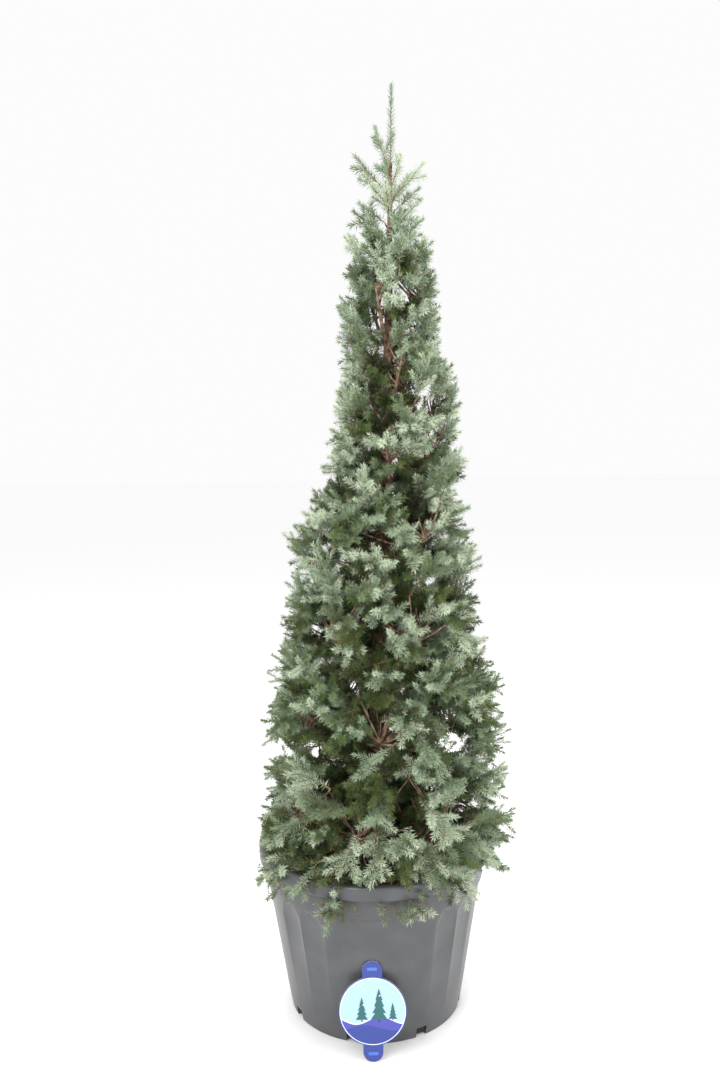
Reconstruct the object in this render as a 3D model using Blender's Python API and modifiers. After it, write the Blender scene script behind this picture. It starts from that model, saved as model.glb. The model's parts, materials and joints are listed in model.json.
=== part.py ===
# A narrow Serbian spruce of the sugar-loaf kind in its nursery container: a leaning trunk,
# boughs in whorls, and masses of needle sprays that keep to their own spaces round the trunk.
# Metres, +Z up. The origin is the middle of the container's flat underside, -Y is the front
# and +X is to the right of someone who looks at the front.

import math
import random

import bmesh
import bpy
import numpy as np
from mathutils import Matrix, Vector, noise
from mathutils.bvhtree import BVHTree

SEAT = 0.0003  # left between two solids that touch
TRUNK_SEAT = 0.0006  # the same from the trunk, whose straight stretches cut its curve short

# Container, a blow-moulded nursery pot
POT_HEIGHT = 0.400
POT_BASE_RADIUS = 0.206
POT_WALL = 0.004
POT_FLOOR = 0.006
POT_STEPS = 48
POT_TURN = math.radians(2.5)  # turns flutes and drain holes to their places
COLLAR_BOTTOM = 0.321
COLLAR_RADIUS = 0.2577  # of the tapered body where it meets the collar
COLLAR_STEP = 0.0045  # how far the collar stands out of the body
LIP_BOTTOM = 0.368
LIP_RADIUS = 0.277
LIP_ROUND = 0.007
FLUTE_DEPTH = 0.006
FLUTE_WIDTH = math.radians(15)  # of one scoop; two lie side by side in a flute
FLUTE_COUNT = 4
FLUTE_TOP = 0.312
FLUTE_FULL = 0.285  # height where a scoop is deepest
FLUTE_END = 0.030
DRAIN_COUNT = 8
DRAIN_WIDTH = 0.027
DRAIN_HEIGHT = 0.024
DRAIN_REACH = 0.014  # how far a drain notch runs in under the floor's edge
DRAIN_OFFSET = math.radians(-18.5)  # from the front, before the pot's turn

# Filling
SOIL_TOP = 0.356
MULCH_THICKNESS = 0.015
MULCH_ROUGHNESS = 0.004
MULCH_STEPS = 30
MULCH_COLLAR = 0.0018  # free ring round the trunk

# Plant label, a flat disc with a tab above and below, leant on the pot's front
LABEL_HEIGHT = 0.219
LABEL_DISC_RADIUS = 0.075
LABEL_TAB_WIDTH = 0.044
LABEL_THICKNESS = 0.0012
LABEL_SIDE = -0.010
LABEL_FOOT_GAP = 0.0005
LABEL_FOOT_FRONT = 0.269  # from the pot's axis to the label's foot

# Trunk
CROWN_TOP = 2.146
TRUNK_TIP = 1.985
TRUNK_LEAN = 0.067  # sideways drift from the ground to the crown's top
TRUNK_SWEEP = 2.0  # larger is straighter
TRUNK_FOOT_RADIUS = 0.0285
TRUNK_TIP_RADIUS = 0.0045
FLARE_RADIUS = 0.013  # added at the ground
FLARE_HEIGHT = 0.028
TRUNK_HEIGHTS = (0.0, 0.012, 0.03, 0.06, 0.12, 0.25, 0.45, 0.7, 0.95, 1.2, 1.4)

# Reach of the crown from the trunk's axis: height, to the left, to the right
CROWN_REACH = (
    (0.36, 0.300, 0.305),
    (0.47, 0.275, 0.335),
    (0.60, 0.278, 0.318),
    (0.75, 0.274, 0.300),
    (0.86, 0.256, 0.250),
    (1.00, 0.222, 0.217),
    (1.13, 0.228, 0.205),
    (1.25, 0.145, 0.180),
    (1.40, 0.125, 0.180),
    (1.52, 0.100, 0.155),
    (1.60, 0.113, 0.115),
    (1.76, 0.114, 0.107),
    (1.90, 0.098, 0.078),
    (1.99, 0.088, 0.076),
    (2.05, 0.066, 0.020),
    (2.15, 0.020, 0.015),
)

# Surfaces that part one tier from the next: height at the trunk, height at the crown's
# skin, and the radius at which that skin is met
TIER_FLOORS = (
    (0.390, 0.330, 0.310),
    (0.500, 0.650, 0.300),
    (0.690, 0.880, 0.250),
    (0.910, 1.100, 0.210),
    (1.130, 1.310, 0.170),
    (1.370, 1.520, 0.140),
    (1.545, 1.670, 0.115),
    (1.715, 1.830, 0.105),
    (1.855, 1.960, 0.085),
    (1.985, 2.110, 0.060),
)

# Tiers from the ground up: name, masses, turn of the first one, where the stem or bough
# leaves the trunk and how high its outer end lies (as shares of the tier's height), rise of
# the shoots (radians above level), their size, and how many each row has from the bottom
TIERS = (
    ("skirt", 6, 0.30, 0.42, 0.50, -0.15, 1.45, (2, 3, 2)),
    ("low", 5, 0.95, 0.30, 0.40, 0.15, 1.55, (2, 3, 2)),
    ("waist", 5, 0.15, 0.30, 0.40, 0.30, 1.45, (2, 3, 2)),
    ("mid", 4, 0.70, 0.30, 0.42, 0.45, 1.35, (2, 3, 2)),
    ("upper", 4, 0.05, 0.30, 0.42, 0.50, 1.15, (2, 2, 2)),
    ("shoulder", 3, 0.85, 0.30, 0.42, 0.60, 1.05, (2, 3, 2)),
    ("neck", 3, 0.10, 0.25, 0.42, 0.65, 0.95, (2, 2, 2)),
    ("tip", 2, 0.60, 0.22, 0.40, 0.75, 0.90, (3, 3)),
    ("crest", 2, 0.00, 0.12, 0.35, 0.90, 0.85, (2, 1)),
)
TIERS_WITH_BOUGHS = 4
TIERS_WITH_CORES = 6
ATTEMPTS = 24  # places tried for a spray before it is skipped
SHRINK = 0.55  # how much smaller the last of them is
BOUGH_RADIUS = 0.0075
BOUGH_TIP_RADIUS = 0.0040
BOUGH_SHARE = 0.26  # of the crown's reach, where a bough ends and its mass begins
STEM_SHARE = 0.70  # where the stem inside a mass ends
STEM_TIP_RADIUS = 0.0022
STEM_BEND = 0.08
TWIG_RADIUS = 0.0026
TWIG_TIP_RADIUS = 0.0015
SPACE_MARGIN = 0.0015  # kept between a mass and the edge of its space

# A spray of needles: a slim core with whorls of needle tufts
SPRAY_LENGTH = 0.105
SPRAY_CORE = 0.005
SPRAY_STALK = 0.12  # of its length, bare at its root
SPRAY_SWELL = (0.020, 0.028, 0.023)  # radius of each whorl, each one across the last
SPRAY_SWEEP = 0.16  # of its length, how far a tuft leans towards its tip
SPRAY_ROOT = 0.012  # sunk into the twig
SPRAY_JITTER = 0.15  # of its share of the mass's width and height
SPRAY_FAN = 0.5  # radians that the outermost sprays turn aside or up
LEADER_SPRAYS = ((0.05, 0.3), (0.38, 1.4))  # share of the way up, turn
LEADER_NARROW = 0.62

# The dense inside of a mass, a smaller body that its sprays stand out of
CORE_SINK = 0.46  # of a spray's length, how far the core stays inside the crown's skin
CORE_INNER = 0.33  # of the crown's reach, where the core's inner side lies
CORE_WIDTH = 0.90
CORE_HEIGHT = 0.92
CORE_BLUNTNESS = 0.66  # 1 is a ball, less is nearer a block
CORE_SEGMENTS = 7
CORE_RINGS = 4
CORE_SEAT = 0.84  # where in the core a spray is rooted, as a share of the way to its skin
CONTAINER_CLEARANCE = 0.004  # between a mass and the lip or the mulch


def clear_scene():
    for thing in list(bpy.data.objects):
        bpy.data.objects.remove(thing)


def new_collection(name):
    group = bpy.data.collections.new(name)
    bpy.context.scene.collection.children.link(group)
    return group


def new_material(name, color, roughness):
    material = bpy.data.materials.new(name)
    material.use_nodes = True
    shader = material.node_tree.nodes["Principled BSDF"]
    shader.inputs["Base Color"].default_value = (*color, 1)
    shader.inputs["Roughness"].default_value = roughness
    shader.inputs["Metallic"].default_value = 0
    return material


def new_object(name, data, group, material=None):
    thing = bpy.data.objects.new(name, data)
    group.objects.link(thing)
    if material:
        data.materials.clear()
        data.materials.append(material)
    return thing


def evaluated_mesh(thing):
    graph = bpy.context.evaluated_depsgraph_get()
    graph.update()
    return bpy.data.meshes.new_from_object(thing.evaluated_get(graph))


def turned_mesh(profile, steps, closed=False):
    """Turns a profile of (radius, height) points round the vertical axis."""
    wire = bpy.data.meshes.new("profile")
    edges = [(i, i + 1) for i in range(len(profile) - 1)]
    if closed:
        edges.append((len(profile) - 1, 0))
    wire.from_pydata([(radius, 0, height) for radius, height in profile], edges, [])
    thing = new_object("profile", wire, bpy.context.scene.collection)
    screw = thing.modifiers.new("turn", "SCREW")
    screw.steps = screw.render_steps = steps
    screw.use_merge_vertices = True
    screw.merge_threshold = 0.00005
    mesh = evaluated_mesh(thing)
    bpy.data.objects.remove(thing)
    return mesh


def pot_body_radius(height):
    return POT_BASE_RADIUS + (COLLAR_RADIUS - POT_BASE_RADIUS) * height / COLLAR_BOTTOM


def flute_depth(angle, height):
    """How far the wall is scooped in at an angle and a height."""
    if not FLUTE_END < height < FLUTE_TOP:
        return 0.0
    spacing = 2 * math.pi / FLUTE_COUNT
    across = abs((angle - math.pi / 4 + spacing / 2) % spacing - spacing / 2)
    if across >= FLUTE_WIDTH:
        return 0.0
    if height > FLUTE_FULL:
        fade = (FLUTE_TOP - height) / (FLUTE_TOP - FLUTE_FULL)
    else:
        fade = (height - FLUTE_END) / (FLUTE_FULL - FLUTE_END)
    return FLUTE_DEPTH * fade * math.sin(math.pi * across / FLUTE_WIDTH)


def scoop_flutes(mesh):
    """Pulls the wall in where the flutes are."""
    for vertex in mesh.vertices:
        radius = math.hypot(vertex.co.x, vertex.co.y)
        angle = math.atan2(vertex.co.y, vertex.co.x)
        depth = flute_depth(angle, vertex.co.z)
        if depth > 0 and radius > POT_BASE_RADIUS / 2:
            shrink = (radius - depth) / radius
            vertex.co.x *= shrink
            vertex.co.y *= shrink


def split_walls(mesh):
    """Splits upright faces along the same rising diagonal, so that nested walls stay apart."""
    work = bmesh.new()
    work.from_mesh(mesh)
    for face in list(work.faces):
        corners = sorted(face.verts, key=lambda vertex: vertex.co.z)
        if len(corners) == 4 and corners[3].co.z - corners[0].co.z > FLUTE_END / 2:
            low, low_next, high, high_next = corners
            if low.co.cross(low_next.co).z < 0:
                low = low_next
            if high.co.cross(high_next.co).z > 0:
                high = high_next
            bmesh.utils.face_split(face, low, high)
    work.to_mesh(mesh)
    work.free()


def make_pot(group, cutters):
    """The container: base, fluted body, plain collar and rolled lip, with drain notches."""
    wall_heights = (FLUTE_END, FLUTE_FULL, FLUTE_TOP)
    collar = COLLAR_RADIUS + COLLAR_STEP
    inner_floor = pot_body_radius(POT_FLOOR) - POT_WALL
    profile = [(0, POT_FLOOR), (inner_floor, POT_FLOOR)]
    profile += [(pot_body_radius(z) - POT_WALL, z) for z in wall_heights]
    profile += [
        (collar - POT_WALL, POT_HEIGHT - LIP_ROUND),
        (collar - POT_WALL + LIP_ROUND, POT_HEIGHT),
        (LIP_RADIUS - LIP_ROUND, POT_HEIGHT),
        (LIP_RADIUS, POT_HEIGHT - LIP_ROUND),
        (LIP_RADIUS, LIP_BOTTOM + LIP_ROUND / 2),
        (LIP_RADIUS - LIP_ROUND / 2, LIP_BOTTOM),
        (collar, LIP_BOTTOM),
        (collar, COLLAR_BOTTOM),
        (COLLAR_RADIUS, COLLAR_BOTTOM - 0.001),
    ]
    profile += [(pot_body_radius(z), z) for z in reversed(wall_heights)]
    profile += [(POT_BASE_RADIUS, 0.003), (POT_BASE_RADIUS - 0.003, 0), (0, 0)]
    mesh = turned_mesh(profile, POT_STEPS)
    scoop_flutes(mesh)
    split_walls(mesh)
    plastic = new_material("dark grey polypropylene", (0.075, 0.077, 0.084), 0.42)
    pot = new_object("pot", mesh, group, plastic)
    pot.rotation_euler.z = POT_TURN
    for index in range(DRAIN_COUNT):
        angle = -math.pi / 2 + DRAIN_OFFSET + index * 2 * math.pi / DRAIN_COUNT
        notch = bmesh.new()
        bmesh.ops.create_cube(notch, size=1)
        box = bpy.data.meshes.new("drain notch")
        notch.to_mesh(box)
        notch.free()
        radius = POT_BASE_RADIUS
        box.transform(Matrix.Diagonal((2 * DRAIN_REACH, DRAIN_WIDTH, 2 * DRAIN_HEIGHT, 1)))
        cutter = new_object(f"drain_notch_{index + 1}", box, cutters)
        cutter.location = (radius * math.cos(angle), radius * math.sin(angle), 0)
        cutter.rotation_euler.z = angle
        cutter.parent = pot
        cutter.hide_render = True
        cutter.display_type = "WIRE"
    cut = pot.modifiers.new("drain notches", "BOOLEAN")
    cut.operation = "DIFFERENCE"
    cut.operand_type = "COLLECTION"
    cut.collection = cutters
    return pot


def make_soil(group):
    """The filling of the pot, which follows the wall and its flutes."""
    gap = POT_WALL + 2 * SEAT
    heights = (FLUTE_TOP, FLUTE_FULL, FLUTE_END)
    bottom = POT_FLOOR + SEAT
    profile = [(0, SOIL_TOP), (pot_body_radius(FLUTE_TOP) - gap + 0.002, SOIL_TOP)]
    profile += [(pot_body_radius(z) - gap, z) for z in heights]
    profile += [(pot_body_radius(bottom) - gap, bottom), (0, bottom)]
    mesh = turned_mesh(profile, POT_STEPS)
    scoop_flutes(mesh)
    split_walls(mesh)
    peat = new_material("potting soil", (0.035, 0.022, 0.014), 0.95)
    soil = new_object("potting_soil", mesh, group, peat)
    soil.rotation_euler.z = POT_TURN
    return soil


def make_mulch(group):
    """The layer of shredded bark on the soil, lumpy on top, with a hole for the trunk."""
    inner = trunk_radius(SOIL_TOP) + MULCH_COLLAR
    outer = pot_body_radius(FLUTE_TOP) - POT_WALL - 0.0005
    bottom = SOIL_TOP + SEAT
    top = SOIL_TOP + MULCH_THICKNESS
    middle = [(inner + (outer - inner) * share, top) for share in (0.3, 0.65)]
    profile = [(inner, bottom), (inner, top), *middle, (outer, top - 0.002), (outer, bottom)]
    mesh = turned_mesh(profile, MULCH_STEPS, closed=True)
    for vertex in mesh.vertices:
        if vertex.co.z > bottom + MULCH_THICKNESS / 2:
            vertex.co.z += MULCH_ROUGHNESS * noise.noise(vertex.co * 45)
    bark = new_material("shredded bark", (0.40, 0.17, 0.07), 0.9)
    return new_object("bark_mulch", mesh, group, bark)


def label_outline():
    """Right half from the top, then mirrored: round tab ends and the disc between them."""
    tab = LABEL_TAB_WIDTH / 2
    middle = LABEL_HEIGHT / 2
    end_centre = middle - tab
    shoulder = math.acos(tab / LABEL_DISC_RADIUS)
    right = []
    for step in range(6):
        angle = math.pi / 2 * (1 - step / 5)
        right.append((tab * math.cos(angle), end_centre + tab * math.sin(angle)))
    for step in range(13):
        angle = shoulder * (1 - step / 6)
        right.append((LABEL_DISC_RADIUS * math.cos(angle), LABEL_DISC_RADIUS * math.sin(angle)))
    for step in range(6):
        angle = -math.pi / 2 * step / 5
        right.append((tab * math.cos(angle), -end_centre + tab * math.sin(angle)))
    left = [(-x, y) for x, y in reversed(right[1:-1])]
    return right + left


def make_label(group):
    """A flat plate that stands on its lower tab and leans its upper tab on the pot."""
    curve = bpy.data.curves.new("plant_label", "CURVE")
    curve.dimensions = "2D"
    curve.fill_mode = "BOTH"
    curve.extrude = LABEL_THICKNESS / 2
    outline = label_outline()
    spline = curve.splines.new("POLY")
    spline.points.add(len(outline) - 1)
    for point, (x, y) in zip(spline.points, outline):
        point.co = (x, y, 0, 1)
    spline.use_cyclic_u = True
    # The top of the plate rests against the wall: a few rounds settle the lean
    lean = 0.1
    for _ in range(8):
        top_height = LABEL_HEIGHT * math.cos(lean)
        wall = pot_body_radius(top_height) + SEAT + LABEL_THICKNESS
        lean = math.asin((LABEL_FOOT_FRONT - wall) / LABEL_HEIGHT)
    card = new_material("printed label card", (0.09, 0.17, 0.50), 0.35)
    label = new_object("plant_label", curve, group, card)
    label.rotation_euler.x = math.pi / 2 - lean
    half = LABEL_HEIGHT / 2
    label.location = (
        LABEL_SIDE,
        -LABEL_FOOT_FRONT + half * math.sin(lean),
        LABEL_FOOT_GAP + half * math.cos(lean) + LABEL_THICKNESS / 2 * math.sin(lean),
    )
    return label


def trunk_axis(height):
    """The middle of the trunk, or of the crown above it, at a height."""
    grown = max(0.0, height - SOIL_TOP)
    whole = 1 - math.exp(-(CROWN_TOP - SOIL_TOP) / TRUNK_SWEEP)
    return Vector((TRUNK_LEAN * (1 - math.exp(-grown / TRUNK_SWEEP)) / whole, 0, height))


def trunk_radius(height):
    share = (height - SOIL_TOP) / (TRUNK_TIP - SOIL_TOP)
    plain = TRUNK_FOOT_RADIUS + (TRUNK_TIP_RADIUS - TRUNK_FOOT_RADIUS) * share
    return plain + FLARE_RADIUS * math.exp(-(height - SOIL_TOP) / FLARE_HEIGHT)


def limb_curve(name, points, radii, sides_step):
    """A tapering limb with flat ends through the points."""
    curve = bpy.data.curves.new(name, "CURVE")
    curve.dimensions = "3D"
    curve.bevel_depth = 1
    curve.bevel_resolution = sides_step
    curve.use_fill_caps = True
    spline = curve.splines.new("POLY")
    spline.points.add(len(points) - 1)
    for point, place, radius in zip(spline.points, points, radii):
        point.co = (*place, 1)
        point.radius = radius
    return curve


def make_trunk(group, bark):
    """From a flat cut on the soil, flared at the foot, to a blunt tip under the leader."""
    foot = SOIL_TOP + SEAT
    heights = [foot + rise for rise in TRUNK_HEIGHTS] + [TRUNK_TIP]
    points = [trunk_axis(height) for height in heights]
    points[0].x = points[1].x
    radii = [trunk_radius(height) for height in heights]
    return new_object("trunk", limb_curve("trunk", points, radii, 4), group, bark)


def crown_reach(angle, height):
    """How far the crown reaches from the trunk's axis."""
    heights, left, right = zip(*CROWN_REACH)
    to_left = np.interp(height, heights, left)
    to_right = np.interp(height, heights, right)
    return float((to_left + to_right) / 2 + (to_right - to_left) / 2 * math.cos(angle))


def tier_floor(tier, radius):
    """Height of the surface under a tier, at a distance from the trunk."""
    inner, outer, skin = TIER_FLOORS[tier]
    return inner + (outer - inner) * radius / skin


def around(angle, radius, height):
    """A point by its angle and distance from the trunk's axis at a height."""
    return trunk_axis(height) + Vector((radius * math.cos(angle), radius * math.sin(angle), 0))


def place_in_tier(tier, angle, share_out, share_up):
    """A point by shares of the crown's reach and of the tier's height."""
    radius = 0.1
    for _ in range(6):
        low = tier_floor(tier, radius)
        height = low + (tier_floor(tier + 1, radius) - low) * share_up
        radius = crown_reach(angle, height) * share_out
    return around(angle, radius, height)


def container_top(radius):
    """Height that a mass has to stay above at a distance from the pot's axis."""
    if radius > LIP_RADIUS + CONTAINER_CLEARANCE:
        return 0.0
    if radius > pot_body_radius(FLUTE_TOP) - POT_WALL - CONTAINER_CLEARANCE:
        return POT_HEIGHT + CONTAINER_CLEARANCE
    return SOIL_TOP + MULCH_THICKNESS + MULCH_ROUGHNESS + CONTAINER_CLEARANCE


def in_space(point, tier, middle, half_width):
    """Whether a point keeps to a mass's own space."""
    off_axis = point - trunk_axis(point.z)
    radius = math.hypot(off_axis.x, off_axis.y)
    turn = (math.atan2(off_axis.y, off_axis.x) - middle + math.pi) % (2 * math.pi) - math.pi
    side_room = radius * math.sin(max(0.0, half_width - abs(turn)))
    return (
        radius > trunk_radius(point.z) + 2 * SPACE_MARGIN
        and side_room > SPACE_MARGIN
        and tier_floor(tier, radius) + SPACE_MARGIN < point.z
        and point.z < tier_floor(tier + 1, radius) - SPACE_MARGIN
        and radius < crown_reach(math.atan2(off_axis.y, off_axis.x), point.z) + SPACE_MARGIN
        and point.z > container_top(math.hypot(point.x, point.y))
    )


def tube_mesh(points, radii, sides=3):
    """A many-sided twig lofted along a bent line, with flat ends."""
    work = bmesh.new()
    rings = []
    for index, (place, radius) in enumerate(zip(points, radii)):
        before = points[max(index - 1, 0)]
        after = points[min(index + 1, len(points) - 1)]
        turn = (after - before).normalized().to_track_quat("Z", "Y")
        ring = []
        for side in range(sides):
            angle = 2 * math.pi * side / sides
            offset = turn @ Vector((math.cos(angle), math.sin(angle), 0)) * radius
            ring.append(work.verts.new(place + offset))
        rings.append(ring)
    for low, high in zip(rings, rings[1:]):
        for side in range(sides):
            other = (side + 1) % sides
            work.faces.new((low[side], low[other], high[other], high[side]))
    work.faces.new(list(reversed(rings[0])))
    work.faces.new(rings[-1])
    mesh = bpy.data.meshes.new("twig")
    work.to_mesh(mesh)
    work.free()
    return mesh


def spray_mesh():
    """A needle spray along +Z: root, whorls of two tufts and two notches, and tip."""
    work = bmesh.new()
    root = work.verts.new((0, 0, 0))
    whorls = []
    spacing = (0.86 - SPRAY_STALK) / len(SPRAY_SWELL)
    for step, swell in enumerate(SPRAY_SWELL):
        whorl = []
        for index in range(4):
            is_tuft = index % 2 == step % 2
            radius = swell if is_tuft else SPRAY_CORE
            along = SPRAY_STALK + spacing * step + (SPRAY_SWEEP if is_tuft else 0)
            angle = math.pi / 2 * index
            place = (radius * math.cos(angle), radius * math.sin(angle), SPRAY_LENGTH * along)
            whorl.append(work.verts.new(place))
        whorls.append(whorl)
    tip = work.verts.new((0, 0, SPRAY_LENGTH))
    for index in range(4):
        other = (index + 1) % 4
        work.faces.new((root, whorls[0][other], whorls[0][index]))
        work.faces.new((tip, whorls[-1][index], whorls[-1][other]))
    for step, (low, high) in enumerate(zip(whorls, whorls[1:])):
        for index in range(4):
            other = (index + 1) % 4
            if index % 2 == step % 2:
                work.faces.new((low[index], low[other], high[index]))
                work.faces.new((high[index], low[other], high[other]))
            else:
                work.faces.new((low[index], low[other], high[other]))
                work.faces.new((low[index], high[other], high[index]))
    mesh = bpy.data.meshes.new("spray")
    work.to_mesh(mesh)
    work.free()
    return mesh


def core_place(tier, middle, half_width, across, up, out):
    """A point in the core's room: across, up and out run from -1 to 1 between its sides."""
    reach = TIER_FLOORS[tier][2]
    outer = 1 - CORE_SINK * SPRAY_LENGTH * TIERS[tier][6] / reach
    share_out = (CORE_INNER + outer) / 2 + (outer - CORE_INNER) / 2 * out
    return place_in_tier(
        tier, middle + half_width * CORE_WIDTH * across, share_out, 0.5 + CORE_HEIGHT / 2 * up
    )


def core_mesh(tier, middle, half_width):
    """A blunt ball bent round the trunk like the mass's space."""
    work = bmesh.new()
    bmesh.ops.create_uvsphere(
        work, u_segments=CORE_SEGMENTS, v_segments=CORE_RINGS, radius=1
    )
    for vertex in work.verts:
        x, y, z = (math.copysign(abs(value) ** CORE_BLUNTNESS, value) for value in vertex.co)
        vertex.co = core_place(tier, middle, half_width, y, z, x)
        radius = math.hypot(vertex.co.x, vertex.co.y)
        vertex.co.z = max(vertex.co.z, container_top(radius) + CONTAINER_CLEARANCE)
    bmesh.ops.recalc_face_normals(work, faces=work.faces)
    mesh = bpy.data.meshes.new("core")
    work.to_mesh(mesh)
    work.free()
    return mesh


def main_body_only(mesh):
    """Drops the loose scraps and the sealed hollows that fusing can leave."""
    work = bmesh.new()
    work.from_mesh(mesh)
    bmesh.ops.dissolve_degenerate(work, dist=1e-6, edges=work.edges)
    left = set(work.faces)
    bodies = []
    while left:
        start = left.pop()
        body, open_faces = [start], [start]
        while open_faces:
            face = open_faces.pop()
            for edge in face.edges:
                for other in edge.link_faces:
                    if other in left:
                        left.remove(other)
                        body.append(other)
                        open_faces.append(other)
        bodies.append(body)
    bodies.sort(key=len)
    for body in bodies[:-1]:
        bmesh.ops.delete(work, geom=body, context="FACES")
    work.to_mesh(mesh)
    work.free()
    return mesh


def fuse(name, meshes, group, material):
    """Joins the meshes with one Boolean union over a collection."""
    parts = new_collection(f"{name} parts")
    for index, mesh in enumerate(meshes[1:]):
        new_object(f"{name} piece {index}", mesh, parts)
    base = new_object(f"{name} base", meshes[0], bpy.context.scene.collection)
    union = base.modifiers.new("fuse", "BOOLEAN")
    union.operation = "UNION"
    union.operand_type = "COLLECTION"
    union.collection = parts
    union.solver = "MANIFOLD"
    fused = main_body_only(evaluated_mesh(base))
    for thing in [base, *parts.objects]:
        bpy.data.objects.remove(thing)
    bpy.data.collections.remove(parts)
    return new_object(name, fused, group, material)


def stem_line(start, end, bend):
    """Four points from the bough's tip or the trunk to the mass's outer end."""
    level = Vector((end.x - start.x, end.y - start.y, 0)).normalized()
    first = start + level * 0.012
    span = end - first
    rise = Vector((0, 0, bend * span.length))
    return [start, first, first + span * 0.5 - rise * 0.5, end]


def make_bough(name, tier, angle, start_up, end_up, group, bark):
    """One tapering limb from the trunk to its mass. Returns the middle of its tip."""
    root = place_in_tier(tier, angle, 0.0, start_up)
    gap = trunk_radius(root.z) + TRUNK_SEAT
    level = Vector((math.cos(angle), math.sin(angle), 0))
    start = root + level * gap
    tip = place_in_tier(tier, angle, BOUGH_SHARE, end_up)
    points = [start, start + level * 0.015, tip - level * 0.012, tip]
    taper = (1.0, 0.86, 0.15, 0.0)
    radii = [BOUGH_TIP_RADIUS + (BOUGH_RADIUS - BOUGH_TIP_RADIUS) * share for share in taper]
    new_object(name, limb_curve(name, points, radii, 1), group, bark)
    return tip


def stem_point(line, share):
    """A point along a bent line by its share of the line's length."""
    lengths = [(after - before).length for before, after in zip(line, line[1:])]
    rest = share * sum(lengths)
    for before, after, length in zip(line, line[1:], lengths):
        if rest <= length:
            break
        rest -= length
    return before.lerp(after, rest / length)


def grow_spray(tier, middle, half_width, stem, across, up, scale, chance):
    """Places one spray: its mesh, its twig's two ends, and the points that need room."""
    rise = TIERS[tier][5]
    length = SPRAY_LENGTH * scale
    swerve = middle + (half_width + SPRAY_FAN) * across + chance.uniform(-0.4, 0.4)
    lift = rise + up * SPRAY_FAN + chance.uniform(-0.3, 0.3)
    heading = Vector((
        math.cos(swerve) * math.cos(lift), math.sin(swerve) * math.cos(lift), math.sin(lift)
    ))
    has_core = tier < TIERS_WITH_CORES
    if has_core:
        out = max(0.1, 1 - across ** 4 - up ** 4)
        shares = [CORE_SEAT * share for share in (across, up, out)]
        knee = core_place(tier, middle, half_width, *shares)
    else:
        angle = middle + half_width * across * 0.9
        knee = place_in_tier(tier, angle, 0.99, 0.5 + up * 0.55) - heading * length
    reach = (knee - stem[0]).length / (stem[-1] - stem[0]).length
    origin = stem_point(stem, min(0.98, max(0.25, reach * 0.9)))
    spin = Matrix.Rotation(chance.uniform(-1.1, 1.1), 4, "Z")
    turn = heading.to_track_quat("Z", "Y").to_matrix().to_4x4() @ spin
    spray = spray_mesh()
    spray.transform(Matrix.Translation(knee) @ turn @ Matrix.Scale(scale, 4))
    checked = [vertex.co for vertex in spray.vertices]
    checked += [knee + heading * length * step / 5 for step in range(5)]
    if not has_core:
        checked += [origin.lerp(knee, 0.4), origin.lerp(knee, 0.7)]
    twig_end = knee if has_core else knee + heading * SPRAY_ROOT
    return spray, (origin, twig_end), checked


def make_mass(name, tier, middle, half_width, stem, stem_radius, chance, group, needles):
    """Twigs by rule from one stem, a spray on each, and the core they stand out of."""
    size, rows = TIERS[tier][6:]
    radii = [stem_radius, stem_radius * 0.95, (stem_radius + STEM_TIP_RADIUS) / 2, STEM_TIP_RADIUS]
    meshes = [tube_mesh(stem, radii)]
    if tier < TIERS_WITH_CORES:
        meshes.append(core_mesh(tier, middle, half_width))
    grown = []
    for row, count in enumerate(rows):
        for column in range(count):
            for attempt in range(ATTEMPTS):
                shrink = 1 - SHRINK * attempt / ATTEMPTS
                scale = size * chance.uniform(0.88, 1.12) * shrink
                across = (column + 0.5) / count * 2 - 1
                up = (row + 0.5) / len(rows) * 2 - 1
                across = (across + chance.uniform(-SPRAY_JITTER, SPRAY_JITTER)) * shrink
                up = (up + chance.uniform(-SPRAY_JITTER, SPRAY_JITTER)) * shrink
                spray, twig, checked = grow_spray(
                    tier, middle, half_width, stem, across, up, scale, chance
                )
                fits = all(in_space(place, tier, middle, half_width) for place in checked)
                shape = BVHTree.FromPolygons(
                    [vertex.co for vertex in spray.vertices],
                    [face.vertices for face in spray.polygons],
                )
                if fits and not any(shape.overlap(other) for other in grown):
                    grown.append(shape)
                    meshes.append(tube_mesh(twig, [TWIG_RADIUS, TWIG_TIP_RADIUS]))
                    meshes.append(spray)
                    break
                bpy.data.meshes.remove(spray)
    return fuse(name, meshes, group, needles)


def make_tier(tier, group, bark, needles, chance):
    name, count, first_turn, start_up, end_up = TIERS[tier][:5]
    half_width = math.pi / count
    for index in range(count):
        angle = first_turn + index * 2 * math.pi / count
        end = place_in_tier(tier, angle, STEM_SHARE, end_up)
        level = Vector((math.cos(angle), math.sin(angle), 0))
        if tier < TIERS_WITH_BOUGHS:
            tip = make_bough(
                f"bough_{name}_{index + 1}", tier, angle, start_up, end_up, group, bark
            )
            start = tip + level * SEAT
            radius = BOUGH_TIP_RADIUS
        else:
            root = place_in_tier(tier, angle, 0.0, start_up)
            start = root + level * (trunk_radius(root.z) + TRUNK_SEAT)
            radius = BOUGH_TIP_RADIUS * 0.9
        stem = stem_line(start, end, STEM_BEND)
        make_mass(
            f"foliage_{name}_{index + 1}", tier, angle, half_width, stem, radius, chance,
            group, needles,
        )


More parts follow.
